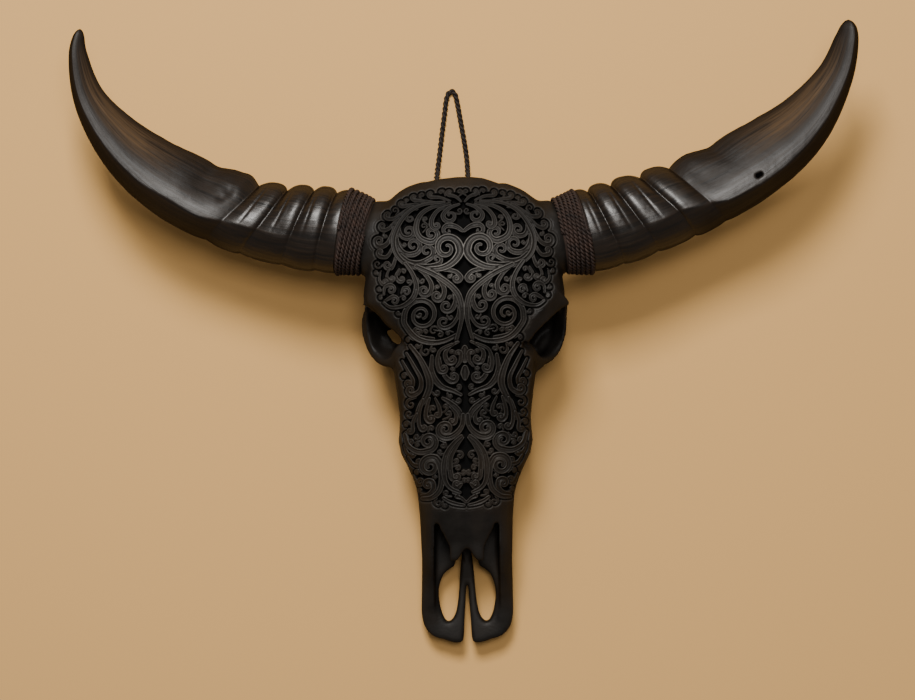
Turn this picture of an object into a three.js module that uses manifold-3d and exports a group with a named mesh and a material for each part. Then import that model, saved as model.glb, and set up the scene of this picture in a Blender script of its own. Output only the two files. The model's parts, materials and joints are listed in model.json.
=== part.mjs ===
// A carved and blackened horned cattle skull, lying face up on the points that it rests on.
// Millimetres. +X is the animal's left to right as seen from above, +Y runs from nose to crown, +Z is up.
// The floor is z = 0, and the origin is the middle of the skull's box on the floor.
import * as THREE from "three";
import { mergeVertices } from "three/addons/utils/BufferGeometryUtils.js";
import Module from "manifold-3d";

const wasm = await Module();
wasm.setup();

// Driving dimensions
const GAP = 0.3; // between neighbouring bones
const NOSE_Y = -335; // tip of the premaxillae
const NAPE_Y = 150; // flat back of the head
const FAR = 600; // longer than the skull, for cutting blocks

// Face and braincase: [y, half width, top, height of the widest line, bottom]
const CORE_SECTIONS = [
  [-342, 53, 29, 21, 11],
  [-300, 53, 36, 24, 12],
  [-262, 52, 59, 30, 13],
  [-232, 52, 81, 42, 15],
  [-184, 52, 100, 56, 20],
  [-158, 55, 110, 62, 24],
  [-138, 64, 117, 66, 26],
  [-116, 73, 125, 72, 26],
  [-86, 71, 136, 82, 26],
  [-54, 74, 149, 100, 26],
  [-24, 77, 160, 112, 26],
  [-9, 75, 164, 112, 26],
  [1, 63, 166, 104, 26],
  [40, 61, 168, 92, 22],
  [100, 64, 166, 82, 18],
  [NAPE_Y, 66, 132, 72, 26],
];
const CORE_SQUARENESS = 2.5;

// Forehead plate that overhangs the temples: same columns
const VAULT_SECTIONS = [
  [-44, 60, 153, 138, 120],
  [-14, 60, 163, 142, 122],
  [2, 65, 168, 140, 120],
  [11, 79, 171, 137, 116],
  [22, 87, 174, 134, 112],
  [33, 98, 176, 131, 108],
  [40, 107, 177, 130, 106],
  [52, 107, 178, 130, 102],
  [74, 103, 178, 128, 94],
  [108, 101, 175, 126, 90],
  [132, 93, 168, 126, 92],
  [148, 78, 160, 126, 98],
  [159, 63, 152, 126, 104],
  [169, 44, 141, 126, 112],
];
const VAULT_SQUARENESS = 2.7;

// Eye sockets
const ORBIT = { x: 86, y: 7, z: 112, radius: 30, rim: 7.5, facing: [0.8, -0.2, 0.57] };
const ORBIT_DEPTH = 44;

// Cheek arch behind each socket: centre line and half thickness
const ARCH_LINE = [[84, -14, 84], [98, 22, 74], [92, 66, 64], [66, 100, 60]];
const ARCH_HALF = [6, 9];

// Nose: floor of the nasal passage, roof thickness, and the opening at the front
const PASSAGE = { floor: 30, half: 36, roof: 9, front: -262, back: -120 };
const NASAL_TIP = { y: -233, half: 14, notchY: -226, sideY: -192, sideHalf: 32 };
const NASAL_ROOT_Y = -48;
const NASAL_HALF = 30;
const NASAL_FLOOR = { z: 139, slope: 0.375, endY: -260 }; // underside of the nasal plate

// Premaxillae in plan, right half: outline, long hole beside the midline bar, and slit between the bars
const MUZZLE_HALF = 51;
const MUZZLE_CORNER = { y: -300, endY: NOSE_Y + 6, endHalf: 26 };
const FISSURE = [
  [4, -236],
  [13, -250],
  [25, -258],
  [31.5, -276],
  [30, -296],
  [25, -311],
  [19, -313],
  [12.5, -302],
  [9, -276],
  [7, -252],
];
const SLIT = { topY: -272, topHalf: 0.6, endHalf: 5 };
const PREMAXILLA_Y = -200;
const MUZZLE_WAIST = { y: -240, inset: 1.5 };
const MUZZLE_ROOT_Y = PREMAXILLA_Y + 12;

// Cheek teeth: six a side, from the front premolar back
const TEETH = { count: 6, firstY: -150, pitch: 22.5, firstX: 40, lastX: 52, height: 34 };
const TOOTH_SIZE = { first: 13, last: 21, crown: 0.52, root: 0.62, sides: 8 };

// Back of the head
const CONDYLE = { x: 27, y: 122, z: 17, rx: 19, ry: 26, rz: 19 };
const JUGULAR = { x: 57, y: 104, top: 60, end: 6, radius: 12, tipRadius: 5.4 };
const FORAMEN = { z: 40, radius: 17, depth: 30 };

// Where bones meet
const FRONTAL_FLOOR = 108;
const FRONTAL_Y = -46;
const ROOT = { x: 67, y: 60, z: 72 };
const BASE_Y = -20;
const CHEEK = { x: 68, endY: 92, z: 40 };

// Horns: [x, y, z, width across as seen from above], from the root in the forehead to the tip
const HORN_RIGHT = [
  [72, 103, 121, 84],
  [102, 109, 118, 82],
  [129, 114, 116, 90],
  [168, 124, 113, 92],
  [216, 140, 110, 88],
  [275, 164, 109, 82],
  [331, 199, 111, 76],
  [368, 231, 115, 61],
  [396, 274, 122, 38],
  [409, 313, 129, 20],
  [412.5, 334, 133, 5],
];
const HORN_LEFT = [
  [72, 104, 121, 84],
  [102, 110, 118, 83],
  [130, 117, 116, 91],
  [164, 121, 113, 92],
  [197, 126, 110, 87],
  [239, 137, 109, 83],
  [293, 161, 110, 79],
  [336, 189, 112, 70],
  [371.5, 223, 116, 53],
  [397, 263, 122, 34],
  [408.5, 307, 130, 18],
  [408.5, 336, 133, 5],
];
const HORN_DEPTH = 0.84; // thickness over width
const HORN_KEEL = 0.07; // edge along the front and lower side
const WRAP_START = 102; // distance of the binding from the midline, inner and outer end
const WRAP_END = 129;
const RINGS_RIGHT = [15, 42, 63, 103]; // crests, measured outwards from the binding along the horn
const RINGS_LEFT = [13, 34, 57, 96];
const RING = { rise: 4.6, half: 13, lean: 20 };

// Bindings: turns of cord round the root of each horn
const WRAP = { turns: 7, cordRadius: 1.9, bed: 7, flare: 2 };

// Hanging loop: twisted cord that lies on the floor behind the crown
const CORD = { radius: 2.3, sides: 8, steps: 48 };
const CORD_ROUTE = [
  [-30.4, NAPE_Y + 2 * GAP, 34],
  [-30.4, 157, 33.8],
  [-30.6, 167, 27],
  [-30, 178, 14.5],
  [-29, 190, 5.5],
  [-27.5, 204, 2.9],
  [-25, 230, 2.6],
  [-22, 256, 2.6],
  [-20, 269, 2.6],
  [-17, 277, 2.6],
  [-12.5, 279.5, 2.6],
  [-8, 276, 2.6],
  [-5.2, 266, 2.6],
  [-2, 246, 2.6],
  [2, 222, 2.6],
  [4.6, 204, 2.9],
  [5.6, 190, 5.5],
  [5.8, 178, 14.5],
  [5.6, 167, 27],
  [5.4, 157, 33.8],
  [5.4, NAPE_Y + 2 * GAP, 34],
];

const blackBone = new THREE.MeshStandardMaterial({ color: 0x2a2724, roughness: 0.62, metalness: 0 });
const blackHorn = new THREE.MeshStandardMaterial({ color: 0x241c17, roughness: 0.34, metalness: 0 });
const brownCord = new THREE.MeshStandardMaterial({ color: 0x2b1d17, roughness: 0.85, metalness: 0 });

// A closed geometry as a solid that can be joined and cut.
function solid(geometry) {
  geometry.deleteAttribute("normal");
  geometry.deleteAttribute("uv");
  const merged = mergeVertices(geometry, 1e-3);
  return new wasm.Manifold(
    new wasm.Mesh({
      numProp: 3,
      vertProperties: merged.attributes.position.array,
      triVerts: new Uint32Array(merged.index.array),
    }),
  );
}

// A solid's largest closed surface as a named mesh.
function bone(name, shape, material) {
  const pieces = shape.decompose();
  pieces.sort((a, b) => b.volume() - a.volume());
  const { vertProperties, triVerts } = pieces[0].getMesh();
  const geometry = new THREE.BufferGeometry();
  geometry.setAttribute("position", new THREE.BufferAttribute(vertProperties, 3));
  geometry.setIndex(new THREE.BufferAttribute(triVerts, 1));
  geometry.computeVertexNormals();
  const mesh = new THREE.Mesh(geometry, material);
  mesh.name = name;
  return mesh;
}

// Moves every vertex of a geometry: move(point) changes the point in place.
function reshape(geometry, move) {
  const position = geometry.attributes.position;
  const point = new THREE.Vector3();
  for (let i = 0; i < position.count; i++) {
    move(point.fromBufferAttribute(position, i));
    position.setXYZ(i, point.x, point.y, point.z);
  }
  return geometry;
}

// Smooth values along a table whose first column is the place: returns place => the other columns.
function smoothTable(rows) {
  const places = Float32Array.from(rows, (row) => row[0]);
  const values = Float32Array.from(rows.flatMap((row) => row.slice(1)));
  const spline = new THREE.CubicInterpolant(places, values, rows[0].length - 1);
  return (place) => Array.from(spline.evaluate(place));
}

const rounded = (part, squareness) => Math.sign(part) * Math.abs(part) ** (2 / squareness);

// A body along Y with a rounded-square section at each place, from a table of sections.
function sectionBody(sections, squareness, sides, steps) {
  const at = smoothTable(sections);
  const first = sections[0][0];
  const last = sections[sections.length - 1][0];
  const geometry = new THREE.CylinderGeometry(1, 1, 1, sides, steps);
  return solid(
    reshape(geometry, (p) => {
      const y = THREE.MathUtils.lerp(first, last, p.y + 0.5);
      const [half, top, wide, bottom] = at(y);
      const reach = Math.hypot(p.x, p.z);
      const across = reach && reach * rounded(p.x / reach, squareness);
      const up = reach && reach * rounded(p.z / reach, squareness);
      p.set(across * half, y, wide + up * (up > 0 ? top - wide : wide - bottom));
    }),
  );
}

function block(x0, x1, y0, y1, z0, z1) {
  const geometry = new THREE.BoxGeometry(x1 - x0, y1 - y0, z1 - z0);
  return solid(geometry.translate((x0 + x1) / 2, (y0 + y1) / 2, (z0 + z1) / 2));
}

function ball(x, y, z, rx, ry, rz, sides = 12) {
  const geometry = new THREE.SphereGeometry(1, sides, sides / 2);
  return solid(geometry.scale(rx, ry, rz).translate(x, y, z));
}

// An upright prism from an outline in plan.
function prism(points, z0, z1) {
  const shape = new THREE.Shape(points.map(([x, y]) => new THREE.Vector2(x, y)));
  const geometry = new THREE.ExtrudeGeometry(shape, { depth: z1 - z0, bevelEnabled: false });
  return solid(geometry.translate(0, 0, z0));
}

// A prism across X from an outline [y, z] in side view.
function sidePrism(points, half) {
  const shape = new THREE.Shape(points.map(([y, z]) => new THREE.Vector2(y, z)));
  const geometry = new THREE.ExtrudeGeometry(shape, { depth: 2 * half, bevelEnabled: false });
  geometry.translate(0, 0, -half);
  return solid(geometry.applyMatrix4(new THREE.Matrix4().makeBasis(
    new THREE.Vector3(0, 1, 0),
    new THREE.Vector3(0, 0, 1),
    new THREE.Vector3(1, 0, 0),
  )));
}

const oval = (halfX, halfY, sides) =>
  new THREE.Shape(new THREE.EllipseCurve(0, 0, halfX, halfY).getPoints(sides).slice(0, -1));

const mirrored = (points, side) => points.map(([x, ...rest]) => [side * x, ...rest]);

const curveThrough = (points, closed = false) =>
  new THREE.CatmullRomCurve3(points.map(([x, y, z]) => new THREE.Vector3(x, y, z)), closed);

function tube(shape, curve, steps) {
  return solid(new THREE.ExtrudeGeometry(shape, { extrudePath: curve, steps, bevelEnabled: false }));
}

// Rim of one eye socket, a ring that faces sideways and up.
function orbitRim(side) {
  const facing = new THREE.Vector3(side * ORBIT.facing[0], ORBIT.facing[1], ORBIT.facing[2]).normalize();
  const ring = new THREE.TorusGeometry(ORBIT.radius, ORBIT.rim, 7, 22);
  ring.applyQuaternion(new THREE.Quaternion().setFromUnitVectors(new THREE.Vector3(0, 0, 1), facing));
  return solid(ring.translate(side * ORBIT.x, ORBIT.y, ORBIT.z));
}

// Hollow of one eye socket, running inwards and down behind the rim.
function orbitHollow(side) {
  const facing = new THREE.Vector3(side * ORBIT.facing[0], ORBIT.facing[1], ORBIT.facing[2]).normalize();
  const inside = ORBIT.radius - ORBIT.rim * 0.55;
  const geometry = new THREE.SphereGeometry(1, 16, 10).scale(inside, inside, ORBIT_DEPTH);
  geometry.applyQuaternion(new THREE.Quaternion().setFromUnitVectors(new THREE.Vector3(0, 0, 1), facing));
  return solid(geometry.translate(side * ORBIT.x, ORBIT.y, ORBIT.z));
}

// Six cheek teeth on one side, growing towards the back, with flat chewing faces on the floor.
function teethRow(side) {
  const teeth = [];
  for (let i = 0; i < TEETH.count; i++) {
    const share = i / (TEETH.count - 1);
    const { first, last, crown, root, sides } = TOOTH_SIZE;
    const size = THREE.MathUtils.lerp(first, last, share);
    const tooth = new THREE.CylinderGeometry(size * root, size * crown, TEETH.height, sides);
    tooth.rotateX(Math.PI / 2).rotateZ(Math.PI / sides);
    const x = side * THREE.MathUtils.lerp(TEETH.firstX, TEETH.lastX, share ** 0.6);
    teeth.push(solid(tooth.translate(x, TEETH.firstY + i * TEETH.pitch, TEETH.height / 2)));
  }
  return teeth;
}

// Horn curve and section helpers, shared by the horn, its root and its binding.
function hornFrame(rows, side) {
  const curve = curveThrough(mirrored(rows, side));
  const widths = smoothTable(rows.map((row, i) => [i / (rows.length - 1), row[3]]));
  const up = new THREE.Vector3(0, 0, 1);
  return {
    // Point on the horn at curve parameter u; across is towards the upper edge, out is towards the viewer.
    point(u, across, out) {
      const along = curve.getTangent(u);
      const edge = new THREE.Vector3().crossVectors(up, along).multiplyScalar(side).normalize();
      const face = new THREE.Vector3().crossVectors(along, edge).multiplyScalar(side);
      return curve.getPoint(u).addScaledVector(edge, across).addScaledVector(face, out);
    },
    half: (u) => widths(u)[0] / 2,
    // Curve parameter where the horn is a given distance from the midline, near its root.
    atDistance(x) {
      let u = 0;
      while (Math.abs(curve.getPoint(u).x) < x) u += 0.0005;
      return u;
    },
    lengthTo: (u0, u1) => {
      let sum = 0;
      const steps = 24;
      for (let i = 0; i < steps; i++) {
        const a = curve.getPoint(THREE.MathUtils.lerp(u0, u1, i / steps));
        sum += a.distanceTo(curve.getPoint(THREE.MathUtils.lerp(u0, u1, (i + 1) / steps)));
      }
      return sum;
    },
  };
}

// A length of horn from u0 to u1. radius(u, angle) is the half width of its oval section:
// angle 0 is the face, and 90 degrees is the upper edge.
function hornLength(frame, side, u0, u1, sides, steps, radius) {
  const geometry = new THREE.CylinderGeometry(1, 1, 1, sides, steps);
  return solid(
    reshape(geometry, (p) => {
      const u = THREE.MathUtils.lerp(u0, u1, p.y + 0.5);
      const angle = Math.atan2(-side * p.x, p.z);
      const reach = Math.hypot(p.x, p.z) * radius(u, angle);
      p.copy(frame.point(u, reach * Math.sin(angle), reach * Math.cos(angle) * HORN_DEPTH));
    }),
  );
}

// The horn sheath with its leaning rings, which are strong on the upper edge and fade below.
function hornSheath(rows, side, rings) {
  const frame = hornFrame(rows, side);
  const start = frame.atDistance(WRAP_END + GAP);
  const samples = 60;
  const lengths = Array.from({ length: samples + 1 }, (_, i) => {
    const u = THREE.MathUtils.lerp(start, 1, i / samples);
    return [u, frame.lengthTo(start, u)];
  });
  const distance = smoothTable(lengths);
  const keelAngle = THREE.MathUtils.degToRad(-38);
  return hornLength(frame, side, start, 1, 18, 46, (u, angle) => {
    const lean = RING.lean * (1 - Math.sin(angle)) * 0.5;
    const along = distance(u)[0] - lean * 1.6;
    const strength = 0.35 + 0.65 * Math.max(0, Math.sin(angle + 0.5));
    let rise = 0;
    for (const crest of rings) {
      const off = Math.min(1, Math.abs(along - crest) / RING.half);
      rise = Math.max(rise, 1 - off * off);
    }
    const keel = 1 + HORN_KEEL * Math.exp(-(((angle - keelAngle) / 0.35) ** 2));
    return frame.half(u) * keel - RING.rise * (1 - rise) * strength * ringFade(along, rings);
  });
}

// Rings lie only along the lower part of the horn: 1 among them, 0 well past the last.
function ringFade(along, rings) {
  const last = rings[rings.length - 1];
  return 1 - THREE.MathUtils.smoothstep(along, last, last + 2.5 * RING.half);
}

// Bony root of a horn: a stub out of the forehead, thinner inside the binding.
function hornRoot(rows, side) {
  const frame = hornFrame(rows, side);
  const inner = frame.atDistance(WRAP_START);
  const outer = frame.atDistance(WRAP_END);
  const stub = hornLength(frame, side, 0, inner, 18, 2, (u) => frame.half(u));
  const core = hornLength(frame, side, inner - 0.01, outer, 18, 3, (u) => frame.half(u) - WRAP.bed - 2 * GAP);
  return stub.add(core);
}

// Binding round a horn's root: turns of cord side by side on a sleeve.
function hornWrap(rows, side) {
  const frame = hornFrame(rows, side);
  const inner = frame.atDistance(WRAP_START + 2 * GAP);
  const outer = frame.atDistance(WRAP_END - GAP);
  const steps = WRAP.turns * 2;
  const sleeve = hornLength(frame, side, inner, outer, 18, steps, (u) => {
    const place = (u - inner) / (outer - inner);
    const turn = Math.abs(Math.sin(place * WRAP.turns * Math.PI));
    return frame.half(u) + WRAP.flare * place + WRAP.cordRadius * (turn - 1);
  });
  const bore = hornLength(frame, side, inner - 0.01, outer + 0.01, 18, 3, (u) => frame.half(u) - WRAP.bed);
  return sleeve.subtract(bore);
}

// Opening at the front of the nose: the plan area that the nasal tips leave free.
function nasalOpening() {
  const { y, half, notchY, sideY, sideHalf } = NASAL_TIP;
  return prism(
    [
      [-sideHalf - 3, sideY],
      [-half - 3, y + 4],
      [-half, y],
      [-half + 6, y + 1],
      [0, notchY],
      [half - 6, y + 1],
      [half, y],
      [half + 3, y + 4],
      [sideHalf + 3, sideY],
      [PASSAGE.half, NOSE_Y - 20],
      [-PASSAGE.half, NOSE_Y - 20],
    ],
    PASSAGE.floor,
    FAR,
  );
}

// Passage behind the opening, between palate and nasal roof.
function nasalPassage() {
  const roof = smoothTable(CORE_SECTIONS);
  const steps = 4;
  const ceiling = Array.from({ length: steps + 1 }, (_, i) => {
    const y = THREE.MathUtils.lerp(PASSAGE.front, PASSAGE.back, i / steps);
    return [y, roof(y)[1] - PASSAGE.roof];
  });
  const closing = [[PASSAGE.back, PASSAGE.floor], [PASSAGE.front, PASSAGE.floor]];
  return sidePrism([...ceiling, ...closing], PASSAGE.half - 4);
}

// Plan of the muzzle: rounded ends, the two long holes and the slit between the midline bars.
function muzzlePlan() {
  const { y, endY, endHalf } = MUZZLE_CORNER;
  const outline = new THREE.Shape();
  const waist = MUZZLE_HALF - MUZZLE_WAIST.inset;
  outline.moveTo(-MUZZLE_HALF, MUZZLE_ROOT_Y);
  outline.lineTo(-waist, MUZZLE_WAIST.y);
  outline.lineTo(-MUZZLE_HALF, y);
  outline.quadraticCurveTo(-MUZZLE_HALF, endY, -endHalf, NOSE_Y + 3);
  outline.quadraticCurveTo(-endHalf / 2, NOSE_Y - 3, -SLIT.endHalf, NOSE_Y);
  outline.lineTo(-SLIT.topHalf, SLIT.topY);
  outline.lineTo(SLIT.topHalf, SLIT.topY);
  outline.lineTo(SLIT.endHalf, NOSE_Y);
  outline.quadraticCurveTo(endHalf / 2, NOSE_Y - 3, endHalf, NOSE_Y + 3);
  outline.quadraticCurveTo(MUZZLE_HALF, endY, MUZZLE_HALF, y);
  outline.lineTo(waist, MUZZLE_WAIST.y);
  outline.lineTo(MUZZLE_HALF, MUZZLE_ROOT_Y);
  for (const side of [1, -1]) {
    const corners = FISSURE.map(([x, holeY]) => new THREE.Vector2(side * x, holeY));
    const rim = new THREE.SplineCurve([...corners, corners[0]]).getPoints(20).slice(0, -1);
    outline.holes.push(new THREE.Path().setFromPoints(rim));
  }
  const geometry = new THREE.ExtrudeGeometry(outline, { depth: FAR, bevelEnabled: false, curveSegments: 6 });
  const muzzle = solid(geometry.translate(0, 0, -FAR / 2));
  return muzzle.add(block(-FAR, FAR, MUZZLE_ROOT_Y - 1, FAR, -FAR / 2, FAR / 2));
}

// Downward point beside each condyle.
function jugularProcess(side) {
  const { x, y, top, end, radius, tipRadius } = JUGULAR;
  const geometry = new THREE.CylinderGeometry(radius, tipRadius, top - end, 10);
  return solid(geometry.rotateX(Math.PI / 2).translate(side * x, y, (top + end) / 2));
}

// The whole skull without horn sheaths, before it is parted into bones.
function wholeSkull() {
  let skull = sectionBody(CORE_SECTIONS, CORE_SQUARENESS, 26, 36);
  skull = skull.intersect(muzzlePlan());
  skull = skull.subtract(nasalPassage()).subtract(nasalOpening());
  skull = skull.add(sectionBody(VAULT_SECTIONS, VAULT_SQUARENESS, 26, 18));
  for (const side of [1, -1]) skull = skull.add(orbitRim(side));
  for (const side of [1, -1]) skull = skull.subtract(orbitHollow(side));
  for (const side of [1, -1]) {
    const arch = curveThrough(mirrored(ARCH_LINE, side));
    skull = skull.add(tube(oval(...ARCH_HALF, 10), arch, 12));
    skull = skull.add(ball(side * CONDYLE.x, CONDYLE.y, CONDYLE.z, CONDYLE.rx, CONDYLE.ry, CONDYLE.rz));
    skull = skull.add(jugularProcess(side));
    for (const tooth of teethRow(side)) skull = skull.add(tooth);
    skull = skull.add(hornRoot(side > 0 ? HORN_RIGHT : HORN_LEFT, side));
  }
  skull = skull.subtract(ball(0, NAPE_Y, FORAMEN.z, FORAMEN.radius, FORAMEN.depth, FORAMEN.radius));
  return skull.subtract(block(-FAR, FAR, -FAR, FAR, -FAR, 0));
}

// Parts the skull along its sutures. Each region is taken from what is left, which then backs off by the gap.
function partedBones() {
  let left = wholeSkull();
  const meshes = [];
  const take = (name, region) => {
    meshes.push(bone(name, left.intersect(region(0)), blackBone));
    left = left.subtract(region(GAP));
  };
  take("nasal_bones", (grow) => {
    const { z, slope, endY } = NASAL_FLOOR;
    const rootY = NASAL_ROOT_Y + grow;
    const tipZ = z + (endY - NASAL_ROOT_Y) * slope - grow;
    return sidePrism([[endY, tipZ], [rootY, z - grow], [rootY, FAR], [endY, FAR]], NASAL_HALF + grow);
  });
  take("frontal_bone", (grow) => {
    const plate = block(-FAR, FAR, FRONTAL_Y - grow, FAR, FRONTAL_FLOOR - grow, FAR);
    const rootRight = block(ROOT.x - grow, FAR, ROOT.y - grow, FAR, ROOT.z - grow, FAR);
    const rootLeft = block(-FAR, -ROOT.x + grow, ROOT.y - grow, FAR, ROOT.z - grow, FAR);
    return plate.add(rootRight).add(rootLeft);
  });
  take("premaxilla_right", (grow) => block(GAP / 2 - grow, FAR, -FAR, PREMAXILLA_Y + grow, -FAR, FAR));
  take("premaxilla_left", (grow) => block(-FAR, -GAP / 2 + grow, -FAR, PREMAXILLA_Y + grow, -FAR, FAR));
  const cheek = (x0, x1, grow) => block(x0, x1, FRONTAL_Y - grow, CHEEK.endY + grow, CHEEK.z, FAR);
  take("zygomatic_right", (grow) => cheek(CHEEK.x - grow, FAR, grow));
  take("zygomatic_left", (grow) => cheek(-FAR, -CHEEK.x + grow, grow));
  take("occipital_bone", (grow) => block(-FAR, FAR, BASE_Y - grow, FAR, -FAR, FAR));
  take("maxilla_right", (grow) => block(GAP / 2 - grow, FAR, -FAR, FAR, -FAR, FAR));
  take("maxilla_left", (grow) => block(-FAR, -GAP / 2 + grow, -FAR, FAR, -FAR, FAR));
  return meshes;
}

const skull = new THREE.Group();
skull.add(...partedBones());
for (const [name, rows, side, rings] of [
  ["right", HORN_RIGHT, 1, RINGS_RIGHT],
  ["left", HORN_LEFT, -1, RINGS_LEFT],
]) {
  skull.add(bone("horn_" + name, hornSheath(rows, side, rings), blackHorn));
  skull.add(bone("horn_binding_" + name, hornWrap(rows, side), brownCord));
}
const cord = tube(oval(CORD.radius, CORD.radius, CORD.sides), curveThrough(CORD_ROUTE), CORD.steps);
skull.add(bone("hanging_cord", cord, brownCord));

export default skull;
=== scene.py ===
# A carved and blackened horned cattle skull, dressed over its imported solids.
import json
import math

import bmesh
import bpy
import numpy as np
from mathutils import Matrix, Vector, noise
from mathutils.bvhtree import BVHTree


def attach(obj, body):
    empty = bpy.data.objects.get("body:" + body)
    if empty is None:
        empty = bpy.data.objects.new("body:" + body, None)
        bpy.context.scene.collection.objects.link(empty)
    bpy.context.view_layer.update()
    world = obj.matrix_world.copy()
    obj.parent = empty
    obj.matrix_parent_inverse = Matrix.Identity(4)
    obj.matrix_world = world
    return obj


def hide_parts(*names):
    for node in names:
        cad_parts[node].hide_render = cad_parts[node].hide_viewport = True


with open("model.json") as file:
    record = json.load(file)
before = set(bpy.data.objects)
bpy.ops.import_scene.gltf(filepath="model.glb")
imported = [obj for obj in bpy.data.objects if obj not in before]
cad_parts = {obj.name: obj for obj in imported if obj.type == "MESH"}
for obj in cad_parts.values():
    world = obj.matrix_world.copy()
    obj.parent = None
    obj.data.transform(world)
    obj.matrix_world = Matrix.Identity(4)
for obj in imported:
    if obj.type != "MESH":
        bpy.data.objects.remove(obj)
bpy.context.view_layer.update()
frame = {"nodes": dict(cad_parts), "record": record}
mm = 0.001
scene = bpy.context.scene


# Shared helpers
def placeObject(name, data):
    placed = bpy.data.objects.new(name, data)
    scene.collection.objects.link(placed)
    return placed


def takeMesh(placed):  # its mesh with the modifiers applied, in place of the object
    mesh = bpy.data.meshes.new_from_object(placed.evaluated_get(bpy.context.evaluated_depsgraph_get()))
    bpy.data.objects.remove(placed)
    return mesh


def addPiece(name, mesh, material, replaced=()):
    mesh.shade_smooth()
    mesh.materials.clear()
    mesh.materials.append(material)
    piece = placeObject(name, mesh)
    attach(piece, "root")
    if replaced:
        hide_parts(*replaced)
    print("made", name, len(mesh.polygons), "faces")
    return piece


def newGrid(wide, long, half=0.5):
    bm = bmesh.new()
    bmesh.ops.create_grid(bm, x_segments=wide, y_segments=long, size=half)
    return bm


def meshFrom(bm, name):
    mesh = bpy.data.meshes.new(name)
    bm.to_mesh(mesh)
    bm.free()
    return mesh


def closeTube(bm):  # joins the seam of a wrapped grid and caps its ends
    bmesh.ops.remove_doubles(bm, verts=bm.verts, dist=1e-6)
    bmesh.ops.holes_fill(bm, edges=[edge for edge in bm.edges if edge.is_boundary])
    bmesh.ops.recalc_face_normals(bm, faces=bm.faces)


def readVertices(mesh):
    spots, normals = np.empty((2, len(mesh.vertices) * 3))
    mesh.vertices.foreach_get("co", spots)
    mesh.vertices.foreach_get("normal", normals)
    return spots.reshape(-1, 3), normals.reshape(-1, 3)


def unitRows(rows):
    return rows / np.linalg.norm(rows, axis=1)[:, None]


def lengthAlong(path):
    return np.r_[0, np.cumsum(np.linalg.norm(np.diff(path, axis=0), axis=1))]


def smoothRow(rows, place):  # Catmull-Rom through the rows, place runs from 0 to len - 1
    rows = np.asarray(rows, float)
    last = len(rows) - 1
    i = min(max(int(place), 0), last - 1)
    f = place - i
    a, b, c, d = rows[max(i - 1, 0)], rows[i], rows[i + 1], rows[min(i + 2, last)]
    square, cube = 2 * a - 5 * b + 4 * c - d, 3 * b - a - 3 * c + d
    return 0.5 * (2 * b + (c - a) * f + square * f**2 + cube * f**3)


def smoothStep(low, high, value):
    t = np.clip((value - low) / (high - low), 0, 1)
    return t * t * (3 - 2 * t)


# Materials
def newMaterial(name, roughness, specular=0.5):
    material = bpy.data.materials.new(name)
    material.use_nodes = True
    shader = material.node_tree.nodes["Principled BSDF"]
    shader.inputs["Roughness"].default_value = roughness
    shader.inputs["Specular IOR Level"].default_value = specular
    return material, material.node_tree, shader


def addNode(tree, kind, inputs=None, **settings):
    node = tree.nodes.new(kind)
    for key, value in settings.items():
        setattr(node, key, value)
    for key, value in (inputs or {}).items():
        if isinstance(value, bpy.types.NodeSocket):
            tree.links.new(value, node.inputs[key])
        else:
            node.inputs[key].default_value = value
    return node


def mixColor(tree, factor, first, second):
    node = addNode(tree, "ShaderNodeMix", {0: factor, 6: first, 7: second}, data_type="RGBA")
    return node.outputs[2]


def mixFloat(tree, factor, first, second):
    node = addNode(tree, "ShaderNodeMix", {0: factor, 2: first, 3: second}, data_type="FLOAT")
    return node.outputs[0]


def mathNode(tree, operation, first, second, clamp=False):
    node = addNode(tree, "ShaderNodeMath", {0: first, 1: second}, operation=operation, use_clamp=clamp)
    return node.outputs[0]


def rangeNode(tree, value, low, high, toLow=0.0, toHigh=1.0):
    inputs = {"Value": value, "From Min": low, "From Max": high, "To Min": toLow, "To Max": toHigh}
    return addNode(tree, "ShaderNodeMapRange", inputs).outputs["Result"]


def noiseNode(tree, vector, scale, detail=4.0, roughness=0.55):
    inputs = {"Vector": vector, "Scale": scale, "Detail": detail, "Roughness": roughness}
    return addNode(tree, "ShaderNodeTexNoise", inputs).outputs["Fac"]


def objectPlace(tree):
    return addNode(tree, "ShaderNodeTexCoord").outputs["Object"]


def readAttribute(tree, name, output="Fac"):
    return addNode(tree, "ShaderNodeAttribute", attribute_name=name).outputs[output]


def grainGroup():  # mottled patches and fine pits that bone, horn and cord share
    group = bpy.data.node_groups.new("surfaceGrain", "ShaderNodeTree")
    group.interface.new_socket("Vector", in_out="INPUT", socket_type="NodeSocketVector")
    for way, names in (("INPUT", ("Patch Scale", "Pit Scale")), ("OUTPUT", ("Patches", "Pits"))):
        for name in names:
            group.interface.new_socket(name, in_out=way, socket_type="NodeSocketFloat")
    given = group.nodes.new("NodeGroupInput")
    put = group.nodes.new("NodeGroupOutput")
    patches = noiseNode(group, given.outputs["Vector"], given.outputs["Patch Scale"], 5.0, 0.6)
    pits = noiseNode(group, given.outputs["Vector"], given.outputs["Pit Scale"], 3.0, 0.6)
    group.links.new(rangeNode(group, patches, 0.3, 0.7), put.inputs["Patches"])
    group.links.new(pits, put.inputs["Pits"])
    return group


def useGrain(tree, vector, patchScale, pitScale):
    inputs = {"Vector": vector, "Patch Scale": patchScale, "Pit Scale": pitScale}
    node = addNode(tree, "ShaderNodeGroup", inputs, node_tree=surfaceGrain)
    return node.outputs["Patches"], node.outputs["Pits"]


def addBump(tree, shader, height, strength, distance):
    bump = addNode(tree, "ShaderNodeBump", {"Height": height, "Strength": strength, "Distance": distance})
    tree.links.new(bump.outputs["Normal"], shader.inputs["Normal"])


turnedAway = {"from": 0.28, "to": 0.66, "shine": 0.02}


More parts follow.
